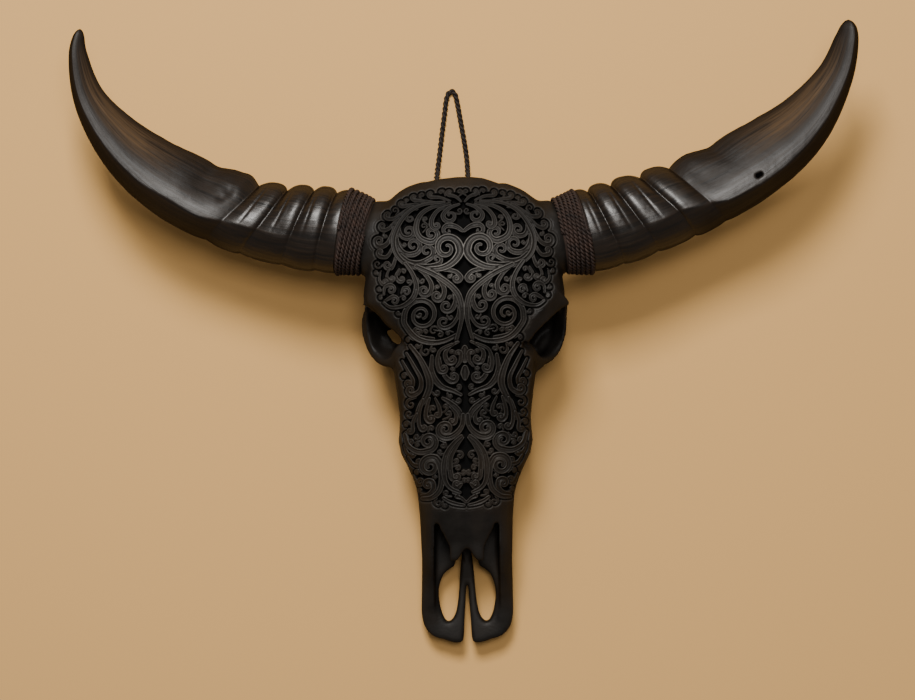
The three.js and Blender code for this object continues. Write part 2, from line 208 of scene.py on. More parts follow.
def softenEdges(tree, shader, shine):  # less mirror-like where the surface turns away
    facing = addNode(tree, "ShaderNodeLayerWeight", {"Blend": 0.5}).outputs["Facing"]
    level = rangeNode(tree, facing, turnedAway["from"], turnedAway["to"], shine, turnedAway["shine"])
    tree.links.new(level, shader.inputs["Specular IOR Level"])


boneLook = {
    "dark": (0.0045, 0.0038, 0.0033, 1),
    "mid": (0.0112, 0.0094, 0.0078, 1),
    "brown": (0.0165, 0.0108, 0.0064, 1),
    # painted shade: near-black for the deep cuts, which stand for holes into the hollow skull, and inside
    # the horn's hole
    "shadeBlack": (0.0005, 0.0004, 0.00035, 1),
    # light grey for the strokes' rims and ridges: partly real wear, partly painted highlight
    "wornHighlight": (0.2, 0.188, 0.172, 1),
    "grain": (26.0, 420.0),
    "stain": (14.0, 2.0),
    "stained": (0.52, 0.72, 0.0, 0.55),
    "rubbedHighlight": (0.3, 0.65, 0.55, 1.0),
    "roughness": (0.46, 0.62),
    "bump": (0.3, 0.0008),
    "shine": 0.145,
}


def blackenedBone():
    material, tree, shader = newMaterial("blackenedBone", 0.5)
    place = objectPlace(tree)
    patches, pits = useGrain(tree, place, *boneLook["grain"])
    color = mixColor(tree, patches, boneLook["dark"], boneLook["mid"])
    stain = rangeNode(tree, noiseNode(tree, place, *boneLook["stain"]), *boneLook["stained"])
    color = mixColor(tree, stain, color, boneLook["brown"])
    # stroke rims and ridges lighter: partly worn, partly painted highlight
    rubbedHighlight = rangeNode(tree, pits, *boneLook["rubbedHighlight"])
    rubbedHighlight = mathNode(tree, "MULTIPLY", readAttribute(tree, "wearAndHighlight"), rubbedHighlight, True)
    color = mixColor(tree, rubbedHighlight, color, boneLook["wornHighlight"])
    # painted shade: near-black in the deep cuts, and darker over the top of the field
    paintedShade = readAttribute(tree, "paintedShade")
    color = mixColor(tree, paintedShade, color, boneLook["shadeBlack"])
    tree.links.new(color, shader.inputs["Base Color"])
    gloss = rangeNode(tree, patches, 0.0, 1.0, *boneLook["roughness"])
    tree.links.new(mixFloat(tree, paintedShade, gloss, 1.0), shader.inputs["Roughness"])
    addBump(tree, shader, pits, *boneLook["bump"])
    softenEdges(tree, shader, boneLook["shine"])
    return material


hornLook = {
    "black": (0.0036, 0.0028, 0.0023, 1),
    "brown": (0.012, 0.0072, 0.004, 1),
    "tan": (0.05, 0.0295, 0.014, 1),
    "grain": (16.0, 300.0),
    "stretch": (1.0, 2.6, 2.6),
    "streaks": (6.0, 6.0, 0.65),
    "browned": (0.35, 0.7),
    "window": [  # where the horn wears to tan
        ("along", (0.48, 0.62)), ("along", (0.97, 0.8)), ("edge", (-0.1, 0.35)),
        ("edge", (0.93, 0.7, 0.12)), ("face", (-0.1, 0.3)), ("streaks", (0.34, 0.62, 0.15)),
    ],
    "hole": (0.06, 0.4),
    "keel": [(-0.72, -0.5), (0.08, -0.26)],
    "keelGloss": 0.36,
    "outer": [(0.25, 0.33, 0.0, 0.74), (0.48, 0.62, 0.0, 0.26)],  # dull past the rings
    "roughness": (0.25, 0.75, 0.29, 0.42),
    "dullRoughness": 0.2,
    "pits": 0.4,
    "bump": (0.3, 0.0008),
    "shine": (0.36, 0.1, 0.02),  # on the rings, past them and in a hole
}


def polishedHorn():
    material, tree, shader = newMaterial("polishedHorn", 0.3)
    grown = readAttribute(tree, "grown", "Vector")
    along, face, edge = addNode(tree, "ShaderNodeSeparateXYZ", {0: grown}).outputs
    stretch = {"Vector": grown, "Scale": hornLook["stretch"]}
    stretched = addNode(tree, "ShaderNodeMapping", stretch).outputs[0]
    _, pits = useGrain(tree, objectPlace(tree), *hornLook["grain"])
    streaks = noiseNode(tree, stretched, *hornLook["streaks"])
    browned = rangeNode(tree, streaks, *hornLook["browned"])
    color = mixColor(tree, browned, hornLook["black"], hornLook["brown"])
    given = {"along": along, "face": face, "edge": edge, "streaks": streaks}
    window = 1.0
    for name, limits in hornLook["window"]:
        window = mathNode(tree, "MULTIPLY", rangeNode(tree, given[name], *limits), window)
    color = mixColor(tree, window, color, hornLook["tan"])
    # painted shade: near-black inside the hole in the horn
    hole = rangeNode(tree, readAttribute(tree, "paintedShade"), *hornLook["hole"])
    color = mixColor(tree, hole, color, boneLook["shadeBlack"])
    tree.links.new(color, shader.inputs["Base Color"])
    keel = mathNode(tree, "MULTIPLY", *(rangeNode(tree, edge, *limits) for limits in hornLook["keel"]))
    outer = mathNode(tree, "ADD", *(rangeNode(tree, along, *limits) for limits in hornLook["outer"]))
    keelGloss = mathNode(tree, "MULTIPLY", keel, hornLook["keelGloss"])
    dull = mathNode(tree, "SUBTRACT", outer, keelGloss, True)
    gloss = rangeNode(tree, streaks, *hornLook["roughness"])
    gloss = mathNode(tree, "ADD", gloss, mathNode(tree, "MULTIPLY", dull, hornLook["dullRoughness"]))
    tree.links.new(mixFloat(tree, hole, gloss, 1.0), shader.inputs["Roughness"])
    height = mathNode(tree, "ADD", streaks, mathNode(tree, "MULTIPLY", pits, hornLook["pits"]))
    addBump(tree, shader, height, *hornLook["bump"])
    ringShine, outerShine, holeShine = hornLook["shine"]
    shine = mixFloat(tree, dull, ringShine, outerShine)
    softenEdges(tree, shader, mixFloat(tree, hole, shine, holeShine))
    return material


cordLook = {
    "roughness": 0.72,
    "shine": 0.25,
    "grain": (120.0, 1500.0),
    "bump": (0.5, 0.0006),
    "binding": ((0.024, 0.0118, 0.0077, 1), (0.0055, 0.0032, 0.0024, 1)),
    "hanging": ((0.014, 0.0088, 0.006, 1), (0.0045, 0.003, 0.0024, 1)),
}


def darkCord(name, light, dark):
    material, tree, shader = newMaterial(name, cordLook["roughness"], cordLook["shine"])
    patches, pits = useGrain(tree, objectPlace(tree), *cordLook["grain"])
    tree.links.new(mixColor(tree, patches, dark, light), shader.inputs["Base Color"])
    addBump(tree, shader, pits, *cordLook["bump"])
    return material


surfaceGrain = grainGroup()
boneMaterial = blackenedBone()
hornMaterial = polishedHorn()
bindingMaterial = darkCord("bindingCord", *cordLook["binding"])
cordMaterial = darkCord("hangingCord", *cordLook["hanging"])


# Camera, floor and light: the view straight down, with the photograph's slight roll
viewFrom = {"place": (-0.0076, -0.0112, 2.4), "lens": 84.15, "sensor": 36, "roll": -0.7}
cameraData = bpy.data.cameras.new("camera")
cameraData.lens = viewFrom["lens"]
cameraData.sensor_width = viewFrom["sensor"]
camera = placeObject("camera", cameraData)
camera.location = viewFrom["place"]
camera.rotation_euler = (0, 0, math.radians(viewFrom["roll"]))
scene.camera = camera

floorLook = {"size": 60.0, "color": (0.5, 0.288, 0.1, 1), "roughness": 0.9, "shine": 0.2}
floor = placeObject("floor", meshFrom(newGrid(1, 1, floorLook["size"] / 2), "floor"))
floorMaterial, _, floorShader = newMaterial("paleFloor", floorLook["roughness"], floorLook["shine"])
floorShader.inputs["Base Color"].default_value = floorLook["color"]
floor.data.materials.append(floorMaterial)

lightColor = (1, 0.97, 0.93, 1)
skyStrength = 0.21
lamps = {
    "keyLight": {"place": (-0.3, 1.5, 2.3), "size": 0.8, "power": 120},
    "fillLight": {"place": (0.15, 0.45, 2.9), "size": 0.7, "power": 38},
}
for lampName, lamp in lamps.items():
    lampData = bpy.data.lights.new(lampName, "AREA")
    lampData.energy = lamp["power"]
    lampData.size = lamp["size"]
    lampData.color = lightColor[:3]
    lampObject = placeObject(lampName, lampData)
    lampObject.location = lamp["place"]
    lampObject.rotation_euler = (-Vector(lamp["place"])).to_track_quat("-Z", "Y").to_euler()
world = bpy.data.worlds.new("studio")
world.use_nodes = True
sky = world.node_tree.nodes["Background"]
sky.inputs["Color"].default_value = lightColor
sky.inputs["Strength"].default_value = skyStrength
scene.world = world


# Cords: strands laid round a path, each one a bevelled curve made a mesh
def ropeMesh(name, lines, radius, roundness):
    curve = bpy.data.curves.new(name, "CURVE")
    curve.dimensions = "3D"
    curve.bevel_depth = radius
    curve.bevel_resolution = roundness
    curve.use_fill_caps = True
    for line in lines:
        spline = curve.splines.new("POLY")
        spline.points.add(len(line) - 1)
        spline.points.foreach_set("co", np.c_[line, np.ones(len(line))].ravel())
    mesh = takeMesh(placeObject(name, curve))
    bpy.data.curves.remove(curve)
    return mesh


def layStrands(path, out, count, offset, pitch):  # out is the direction off the surface under the path
    along = unitRows(np.gradient(path, axis=0))
    side = unitRows(np.cross(along, out))
    off = np.cross(side, along)
    run = lengthAlong(path)
    strands = []
    for i in range(count):
        angle = (run / pitch + i / count) * 2 * math.pi
        strands.append(path + offset * (np.cos(angle)[:, None] * side + np.sin(angle)[:, None] * off))
    return strands


hangingLoop = {
    "strands": 2,
    "strand": 1.65,
    "offset": 1.4,
    "pitch": 11.5,
    "samples": 640,
    "roundness": 3,
    "route": [  # mm, out of the nape, along the floor and back
        (-30.4, 150.6, 34), (-30.4, 157, 33.8), (-30, 167, 27), (-29, 178, 14.5), (-27.6, 190, 5.6),
        (-25.6, 204, 3.3), (-22.2, 230, 3.1), (-18.6, 256, 3.1), (-17, 268, 3.1), (-14.6, 275.6, 3.1),
        (-10.8, 278.6, 3.1), (-7, 275.4, 3.1), (-4.6, 266, 3.1), (-1.2, 246, 3.1), (2.8, 222, 3.1),
        (5.2, 204, 3.3), (6, 190, 5.6), (6, 178, 14.5), (5.7, 167, 27), (5.4, 157, 33.8), (5.4, 150.6, 34),
    ],
}


def makeHangingLoop():
    route = hangingLoop["route"]
    steps = np.linspace(0, len(route) - 1, hangingLoop["samples"])
    path = np.array([smoothRow(route, step) for step in steps]) * mm
    out = np.tile((0.0, 0.0, 1.0), (len(path), 1))
    offset, pitch = hangingLoop["offset"] * mm, hangingLoop["pitch"] * mm
    strands = layStrands(path, out, hangingLoop["strands"], offset, pitch)
    mesh = ropeMesh("hangingLoop", strands, hangingLoop["strand"] * mm, hangingLoop["roundness"])
    loop = addPiece("hangingLoop", mesh, cordMaterial, ["hanging_cord"])


makeHangingLoop()


# Bone: the solids' bones fused into one skin and rounded
boneForm = {
    "voxel": 2.2,
    "rounding": 9,
    "vault": (122, 134),
    "crown": (80, 100),
    "brow": (62, 48, 0.9),  # x and y past which it keeps its edge, and how much
    "broadRounding": 40,
    "broadLevels": (0.1, 0.25, 0.5, 0.75, 0.99),
    "crownRise": [  # across, and mm that the crown's outline moves out there
        (-90, 0), (-72, 2.6), (-58, 2.2), (-46, 0), (-38, -0.8), (-22, 1.5), (-6, 3), (10, 3), (21, 2),
        (30, -0.6), (38, -3.2), (48, -1.2), (60, 0), (90, 0),
    ],
    "crownFrom": (124, 158),
    "crownAbove": (50, 90),
    "unevenness": 0.5,
    "lumps": 0.055,
    "pull": (0.35, 6),  # how much of its width moves in full, and mm of fading above and below
}
socket = {  # mm, right side: edge rows of the brow plate and of the bowl under it
    "browEdge": [(108.8, 37.5, 138), (97.5, 32.5, 145), (85, 21, 150), (74.5, 9.5, 151), (65, -2, 147)],
    "browRoot": [(92, 56, 157), (84, 44, 162), (74, 32, 163), (64, 18, 159), (57, 2, 153)],
    "browThick": 8,
    "grid": (24, 14),
    "bowlRim": [
        (108, 37, 119), (107.5, 20, 103), (105.5, 2, 98), (102, -9, 98), (95, -17, 102), (86, -24, 109),
        (78, -31, 116),
    ],
    "bowlRoot": [
        (98, 45, 120), (86, 28, 108), (74, 14, 102), (66, 2, 100), (61, -8, 103), (63, -18, 110),
        (67, -29, 116),
    ],
    "bowlDip": 21,
    "bowlThick": 4.5,
    "leftHole": (72.5, 5, 11.5, 6),  # across, y, long and short radius
}
boneMarks = [  # mm, right side: spot near the surface, radius and depth; a negative depth is a swelling
    (60, -132, 66, 5.5, 5), (62, -92, 48, 17, -3.2), (0, 166, 92, 15, -4), (30, 158, 62, 15, 3.2),
    (52, 128, 66, 13, 2.4), (56, -36, 58, 12, 2.2),
]
bonePulls = [  # mm, right side: spot, lowest and highest z, reach across, up and down, and the move
    (0, -290, 0, 45, 9, 36, 50, 0, 18),  # slit between the premaxillae
    (3.2, -296, 0, 45, 4, 20, 30, -1.1, 0),
    (8.5, -247, 0, 45, 6, 25, 18, -1.6, 12),  # upper end of the palate's opening
    (11, -231, 62, 95, 9, 13, 14, 3.2, -8),  # nasal tip
    (76, 1, 124, 140, 11, 14, 14, -8, 0),  # ledge inside the eye socket
]
teeth = {"count": 6, "firstY": -150, "pitch": 22.5, "firstX": 40, "lastX": 52}
pegs = {"slimmer": 0.4, "below": (36, 31), "reach": 17}  # the solids' plain crowns, inside the folded ones
boneNodes = [part["node"] for part in frame["record"]["subparts"] if part["material_slot"] == "bone"]


def lofted(edgeRow, rootRow, dip, thick, side):  # a plate between two rows, sagging by dip in the middle
    bm = newGrid(*socket["grid"])
    for vertex in bm.verts:
        u, v = vertex.co.x + 0.5, vertex.co.y + 0.5
        spot = smoothRow(edgeRow, u * (len(edgeRow) - 1)) * (1 - v)
        spot = spot + smoothRow(rootRow, u * (len(rootRow) - 1)) * v
        spot[2] -= dip * math.sin(math.pi * v) * (0.3 + 0.7 * math.sin(math.pi * u))
        vertex.co = spot * (side * mm, mm, mm)
    if dip and side < 0:
        across, y, long, short = socket["leftHole"]
        spare = []
        for face in bm.faces:
            place = face.calc_center_median() / mm
            along, off = -place.x - across + place.y - y, -place.x - across - place.y + y
            if (along / long) ** 2 + (off / short) ** 2 < 2:
                spare.append(face)
        bmesh.ops.delete(bm, geom=spare, context="FACES")
    bmesh.ops.recalc_face_normals(bm, faces=bm.faces)
    bmesh.ops.solidify(bm, geom=bm.faces[:], thickness=thick * mm)
    bmesh.ops.recalc_face_normals(bm, faces=bm.faces)
    return meshFrom(bm, "lofted")


def smoothed(mesh, iterations, broad=False):
    piece = placeObject("smoothed", mesh)
    rounding = piece.modifiers.new("round", "SMOOTH")
    rounding.factor = 0.5
    rounding.iterations = iterations
    if broad:  # the vault and the crown, but not the edge of the brow
        x, y, z = readVertices(mesh)[0].T / mm
        share = np.maximum(smoothStep(*boneForm["vault"], z), smoothStep(*boneForm["crown"], y))
        browX, browY, kept = boneForm["brow"]
        share *= 1 - kept * (np.abs(x) > browX) * (y < browY)
        group = piece.vertex_groups.new(name="broad")
        for level in boneForm["broadLevels"]:
            group.add(np.flatnonzero(share >= level).tolist(), level, "REPLACE")
        rounding.vertex_group = "broad"
    return takeMesh(piece)


def toothPlaces():  # both rows, from the front premolar back
    places = []
    for i in range(teeth["count"]):
        share = i / (teeth["count"] - 1)
        across = teeth["firstX"] + (teeth["lastX"] - teeth["firstX"]) * share**0.6
        places += [(side * across, teeth["firstY"] + i * teeth["pitch"]) for side in (1, -1)]
    return places


def bothSides(rows):  # each row on the right and the left, or once on the midline
    return [(side, *row) for side in (1, -1) for row in rows if side > 0 or row[0]]


def fuseBones():
    bm = bmesh.new()
    for name in boneNodes:
        bm.from_mesh(frame["nodes"][name].data)
    bmesh.ops.remove_doubles(bm, verts=bm.verts, dist=1e-5)
    for side in (1, -1):
        bm.from_mesh(lofted(socket["browEdge"], socket["browRoot"], 0, socket["browThick"], side))
        dip, thick = socket["bowlDip"], socket["bowlThick"]
        bm.from_mesh(lofted(socket["bowlRim"], socket["bowlRoot"], dip, thick, side))
    rough = placeObject("roughBone", meshFrom(bm, "roughBone"))
    fuse = rough.modifiers.new("fuse", "REMESH")
    fuse.mode = "VOXEL"
    fuse.voxel_size = boneForm["voxel"] * mm
    mesh = smoothed(smoothed(takeMesh(rough), boneForm["rounding"]), boneForm["broadRounding"], True)
    spots, normals = readVertices(mesh)
    lumps = np.array([noise.noise(Vector(spot / boneForm["lumps"])) for spot in spots])
    spots += normals * (lumps * boneForm["unevenness"] * mm)[:, None]
    x, y, z = spots.T / mm
    for side, markX, markY, markZ, radius, depth in bothSides(boneMarks):
        off = np.linalg.norm(spots / mm - (side * markX, markY, markZ), axis=1)
        off = np.linalg.norm(spots - spots[off.argmin()], axis=1) / mm
        spots -= normals * (depth * mm * np.exp(-((off / radius) ** 2)))[:, None]
    core, fade = boneForm["pull"]
    for side, pullX, pullY, low, high, across, up, down, moveX, moveY in bothSides(bonePulls):
        share = smoothStep(across, core * across, np.abs(side * x - pullX))
        share *= smoothStep(low - fade, low, z) * smoothStep(high + fade, high, z)
        share *= np.where(y > pullY, smoothStep(up, 0, y - pullY), smoothStep(down, 0, pullY - y))
        spots[:, 0] += side * moveX * mm * share
        spots[:, 1] += moveY * mm * share
    for toothX, toothY in toothPlaces():
        near = np.hypot(x - toothX, y - toothY) < pegs["reach"]
        shrink = pegs["slimmer"] * smoothStep(*pegs["below"], z) * near
        spots[:, 0] -= (x - toothX) * shrink * mm
        spots[:, 1] -= (y - toothY) * shrink * mm
    rise = np.interp(x, *np.transpose(boneForm["crownRise"]))
    rise = rise * smoothStep(*boneForm["crownFrom"], y) * smoothStep(*boneForm["crownAbove"], z)
    spots[:, 1] += rise * mm
    mesh.vertices.foreach_set("co", spots.ravel())
    mesh.update()
    return mesh


boneMesh = fuseBones()
bm = bmesh.new()
bm.from_mesh(boneMesh)
boneSurface = BVHTree.FromBMesh(bm)
bm.free()
print("bone fused:", len(boneMesh.polygons), "faces")


def topOfBone(x, y):
    hit = boneSurface.ray_cast(Vector((x, y, 1)), Vector((0, 0, -1)))[0]
    return hit.z if hit else None


# Carving: scrolls worked out in plan, mm across from the midline and mm down from the crown
carving = {
    "crownY": 166.8,
    "cell": 0.6,
    "step": 0.5,
    "depth": (8.5, 6),
    "shallowFrom": (180, 260),
    "channel": 1.7,
    "moat": 3,
    "slimmer": (0.86, 1.08),  # forehead and face
    "slimmerFrom": (150, 190),
    "fillers": 170,
    "fillerRoom": (5.4, 3.3),
    "fillerFrom": (150, 200),
    "hem": (5, 1.9),
    "touch": 2.2,
    "bold": 2.6,  # half width from which a stroke has its full height and a ridge
    "ridge": 1.1,
    "lightPool": (0.18, 0.6, 16, 34, 84, 32),  # painted highlight, all over and more round a spot where the light fell brightest: across, reach, down, reach
    "openings": [  # mm down and radius of the cut-outs on the midline
        (47, 5), (58, 5), (91, 7), (112, 6), (160, 4), (167, 6), (194, 3), (222, 4), (237, 4), (274, 4),
        (281, 6), (300, 5), (327, 4),
    ],
    "edge": [
        (-5, 8), (30, 8), (50, 12), (68, 21), (85, 36), (96, 60), (97, 90), (92, 116), (86, 133), (72, 140),
        (67, 148), (65, 160), (62, 171), (66, 178), (70, 195), (67, 222), (66, 242), (69, 262), (68, 282),
        (61, 304), (55, 326), (48, 341), (30, 348), (-5, 350),
    ],
}
slim, small, leaf, broad = (2, 4, 2), (2.5, 4.5, 2), (2.5, 5, 2), (3, 6, 2.4)  # widths of the strokes
scrolls = [  # each its stem, its widths, and the eye that it curls round with its turns there
    ([(13, 22), (23, 18), (31.5, 17)], small, (33, 13.4), -0.9),  # leaves along the top edge
    ([(26, 23), (40, 21), (49.5, 19.6)], small, (50.5, 16), -0.9),
    ([(43, 25), (54, 24.5), (62, 26)], small, (63.7, 22.6), -0.9),
    ([(2, 23), (7, 18), (12, 16)], small, (13.4, 12.4), -0.9),
    ([(51, 26), (61, 31.5), (70, 38), (77, 39)], leaf, (78.4, 34.6), -1),  # outer row
    ([(63.7, 38), (72, 43.4), (77.7, 49), (83.3, 51)], leaf, (84.4, 46.4), -1),
    ([(72, 48), (76, 58), (81, 65.8), (88, 68.6)], broad, (88.6, 62.4), -1.1),
    ([(73, 62), (76, 72), (81, 79), (87, 79)], leaf, (87.6, 74.4), -1),
    ([(71, 75), (73, 84.7), (76.3, 91)], leaf, (80, 87.4), -1),
    ([(47, 29.4), (54.6, 31.5), (59.2, 37.8)], (2.2, 4, 2), (54.8, 38.8), 0.9),  # inner row
    ([(63.7, 38.5), (67.2, 49.7), (64.4, 58), (57.4, 60.2)], broad, (57.4, 53.2), 1.1),
    ([(70, 57), (68, 69), (61, 76.3), (52.5, 77)], (3, 7, 2.6), (52.8, 68.2), 1.1),
    ([(66.5, 77), (58, 84), (47, 86), (37, 82.6)], (3, 6.5, 2.6), (38.8, 74.6), 1.1),
    ([(51, 88), (38.5, 89.6), (28.7, 88.6)], leaf, (28.4, 83), 1),
    ([(13.3, 25), (31.5, 28), (44, 35.7), (49, 48.3), (46, 59.5), (35.7, 65)],
     (3, 8, 3), (33.6, 56.7), 1.1),  # nested leaves
    ([(12, 27), (24.5, 31), (31.5, 39), (33, 47)], broad, (28, 47.2), 0.9),
    ([(4.2, 26), (13.3, 29.4), (20.3, 36.4), (19, 42)], broad, (13.3, 37.8), 0.9),
    ([(1, 54.3), (7, 50), (13.3, 48.3)], (4, 6.5, 2.4), (16.3, 54), 0.9),
    ([(31.5, 94), (17.5, 94.8), (8.4, 97), (2.9, 103)], (3, 5.5, 2.4), (7.7, 103.6), -1),
    ([(44, 92.4), (26, 92.8), (13.3, 88), (5.4, 80), (4, 72)],
     (4, 10.5, 3.2), (18, 72), 1.25),  # middle volute
    ([(19, 23), (40, 24.5), (55.3, 31.5), (66.5, 44), (73.2, 59.5), (72, 73.5), (63.7, 84.7), (50, 91),
      (37, 94.5)], (3, 6, 6)),  # framing stem
    ([(68, 92), (71.4, 99), (69.3, 104.6)], slim, (65.8, 102.5), 1),  # brow
    ([(78.4, 92), (81.2, 99), (79, 104)], slim, (76, 101.8), 1),
    ([(88, 96), (89, 103), (86, 108)], (2, 3.6, 2), (83.5, 105), 1),
    ([(84, 118.6), (83.3, 111.6), (78.4, 108.8)], small, (76.6, 113.7), -1.1),
    ([(83.3, 125.6), (77, 122)], small, (72.8, 125.2), -1.1),
    ([(66, 118), (63, 112)], slim, (60.5, 116), -1),
    ([(51, 90), (40.6, 99), (34.3, 109.5), (36, 118)], (3, 6, 2.5), (41.7, 115), -1.1),  # hanging leaves
    ([(41.3, 94), (28, 103), (21, 114.4), (22.4, 123.5)], (3, 6, 2.5), (28, 121), -1.1),
    ([(27.3, 98.3), (14.7, 110), (8.8, 123.5), (11.2, 134)], (3, 6, 2.5), (18.2, 132), -1.1),
    ([(5.2, 130), (6.6, 142.4), (12, 151.5), (19, 155)], leaf, (21, 148.7), -1.1),
    ([(31.5, 165.5), (42.7, 164), (51, 161.3)], leaf, (47.6, 157.6), -1),
    ([(7, 162), (20.3, 168.3), (34.3, 169.7), (48.3, 165.5), (58, 155.7), (62.3, 143.8)],
     (4, 7, 3), (44, 141), -1.7),  # brow volute
    ([(0, 176), (0, 183), (0, 190)], (5, 10, 5)),  # bosses on the midline
    ([(0, 197), (0, 203), (0, 209)], (5, 9, 4)),
    ([(61.6, 86.4), (54, 97.6), (50, 110), (53, 122), (63.7, 130.5), (76.3, 132), (84, 127)], (4, 6.5, 3)),
    ([(50, 90), (34.3, 97.3), (23, 104.3), (13.3, 112), (6, 121), (2.9, 132), (2.6, 144), (5, 156),
      (8.5, 168)], (5, 7.4, 3.4)),
    ([(66, 188), (60, 199.6), (55.4, 208.7), (56.5, 215.5)], slim, (60, 212), -1),  # face
    ([(61, 180), (53, 195), (47, 207.6), (48, 219), (55.4, 224.6)], leaf, (57.8, 219.5), -1),
    ([(27, 182.5), (25.3, 195), (21.3, 205.3), (15.7, 211)], leaf, (12.3, 206.4), 1),
    ([(6.6, 170), (15.7, 174.6), (20.2, 182.5), (18, 190.5)], leaf, (13.4, 187.7), 0.9),
    ([(13, 172), (25, 178), (29, 190), (27, 200)], (2.5, 4, 2), (22.5, 197), 0.9),
    ([(9, 196), (5, 191), (4, 184)], slim, (7.2, 182), 0.8),
    ([(34, 183.7), (35, 197.3), (31.6, 208.7), (24.7, 216.7), (13.4, 221.2), (4.3, 225.8)], (3, 6, 3)),
    ([(56.5, 172.3), (46.3, 187), (39.5, 203), (37.8, 214.4), (41.8, 225.8), (48.6, 237), (54.3, 252)],
     (4, 7, 4)),
    ([(45.5, 229.7), (49.5, 243.8), (50, 255), (47.5, 262)], (2.5, 4, 2), (45, 259.4), 0.9),
    ([(38.5, 228.7), (42, 239.8), (42.5, 248.8), (39.5, 253.4)], small, (37.5, 249.8), 1),
    ([(32.5, 228.7), (28.5, 237.7), (27.5, 244.8)], slim, (30.5, 245.8), -1),
    ([(16.5, 237.7), (10.5, 245.8), (10.5, 254)], slim, (14.5, 253.4), -1),
    ([(24.5, 228.7), (15.5, 234.7), (6.5, 243.8), (2.4, 257)], (3, 5.5, 4)),
    ([(52.5, 244.8), (56.5, 254), (56.5, 262)], slim, (59.7, 263), -1),
    ([(64.5, 265), (62.5, 274)], slim, (59, 274.5), 1),
    ([(65.5, 279), (63.5, 286), (59, 291)], slim, (57, 288), 1),
    ([(61.5, 292), (57, 299), (52.5, 301.2)], slim, (50.5, 297.2), 1),
    ([(56.5, 312.3), (52.5, 322.3)], slim, (49.5, 318.3), 0.9),
    ([(65.5, 267), (61.5, 279), (51.5, 285.6), (40.5, 285)], (3, 6.5, 2.6), (40, 275), 1.4),  # cheek volute
    ([(2.4, 247), (3.6, 258), (9.5, 266.4), (18.5, 271)], (3.4, 6.5, 2.6), (21.5, 262), -1.4),
    ([(48.5, 334.4), (40.5, 332.4), (35, 326.4), (35.5, 319.3)], leaf, (40.5, 322.3), 1.1),
    ([(47.5, 338), (37.5, 336.4), (28.5, 328.4), (25.4, 315.3), (26.8, 302.2), (32.5, 292.6)],
     (4, 7, 3), (38, 302.2), 1.4),
    ([(3.5, 271.5), (9.5, 280), (15.5, 292), (16.5, 303), (15.5, 312)], (3, 5, 2.2), (10.5, 313.8), 1.1),
    ([(5, 322), (9, 326)], (2.4, 4, 2), (9.5, 321.5), -0.8),
    ([(24.5, 337), (18.5, 341), (10.5, 344), (2.5, 345.5)], (3, 4, 3)),  # lower garland
    ([(0.8, 342), (5.5, 337.6), (10.5, 335.6)], (2.4, 4, 2), (12, 331.4), 0.9),
    ([(4.5, 270), (12.5, 277), (20, 288), (23, 302.2), (22, 317.3), (16.5, 326.4), (6.5, 331.4)],
     (3, 5.5, 3)),
]
halfWide, halfLong = 104, 362  # mm of plan that the carving is worked out on


def traceScroll(stem, widths, eye=None, turns=0):
    stem = [np.array(point, float) for point in stem]
    curl = []
    if eye:
        reach = stem[-1] - np.array(eye)
        radius, start = np.hypot(*reach), math.atan2(reach[1], reach[0])
        count = int(abs(turns) * radius * 4 / carving["step"]) + 4
        for i in range(1, count + 1):
            angle = start + turns * 2 * math.pi * i / count
            now = radius * (1 - 0.8 * (i / count) ** 0.9)
            curl.append(np.array(eye) + now * np.array((math.cos(angle), math.sin(angle))))
    guide = stem + curl[len(curl) // 8:len(curl) // 8 + 1]
    points = []
    for i in range(len(stem) - 1):
        count = int(np.hypot(*(stem[i + 1] - stem[i])) / carving["step"]) + 1
        for j in range(count):
            points.append(smoothRow(guide, i + j / count))
    first, second, third = widths
    share = np.linspace(0, 1, len(points))
    if eye:
        halves = list(first + (second - first) * share**0.8)
        halves += [second + (third - second) * part**0.7 for part in np.linspace(0, 1, len(curl))]
    else:
        halves = np.interp(share, (0, 0.5, 1), widths)
    points = np.array(points + curl)
    slimmer = np.interp(points[:, 1], carving["slimmerFrom"], carving["slimmer"])
    return points, np.array(halves) / 2 * slimmer


def edgeDistance(across, down):  # positive inside the carved field
    edge = carving["edge"]
    corners = np.array([smoothRow(edge, step) for step in np.linspace(0, len(edge) - 1, 5 * len(edge))])
    nearest = np.full(across.shape, 1e9)
    inside = np.zeros(across.shape, bool)
    for (ax, ay), (bx, by) in zip(corners, np.roll(corners, -1, 0)):
        run = (across - ax) * (bx - ax) + (down - ay) * (by - ay)
        run = np.clip(run / ((bx - ax) ** 2 + (by - ay) ** 2), 0, 1)
        if not (ax < 0 and bx < 0):
            off = np.hypot(across - ax - run * (bx - ax), down - ay - run * (by - ay))
            nearest = np.minimum(nearest, off)
        crosses = (ay > down) != (by > down)
        with np.errstate(divide="ignore", invalid="ignore"):
            inside ^= crosses & (across < (bx - ax) * (down - ay) / (by - ay) + ax)
    return np.where(inside, nearest, -nearest)


def fillingCurl(across, down, free, nearest):  # a small curl in the widest gap that is left
    i, j = np.unravel_index(np.argmax(free), free.shape)
    room = free[i, j]
    eye = np.array((across[i, j], down[i, j]))
    slopes = np.gradient(nearest[max(i - 2, 0):i + 3, j]), np.gradient(nearest[i, j - 2:j + 3])
    slope = np.array([slopes[0].mean(), slopes[1].mean()])
    steep = np.hypot(*slope)
    away = slope / steep if steep > 1e-6 else np.array((0.6, 0.8))
    hand = 1 if (i + j) % 2 else -1
    side = hand * np.array((-away[1], away[0]))
    radius = min(room * 0.72, 5.5)
    root = eye - away * (room + 1.5) + side * radius * 0.5
    stem = [root, eye - away * radius * 0.9 + side * radius * 0.8, eye + side * radius]
    return stem, (1.4, max(2, radius * 0.52), 1.3), tuple(eye), -hand


def depthAt(down):
    deep, shallow = carving["depth"]
    return deep + (shallow - deep) * smoothStep(*carving["shallowFrom"], down)


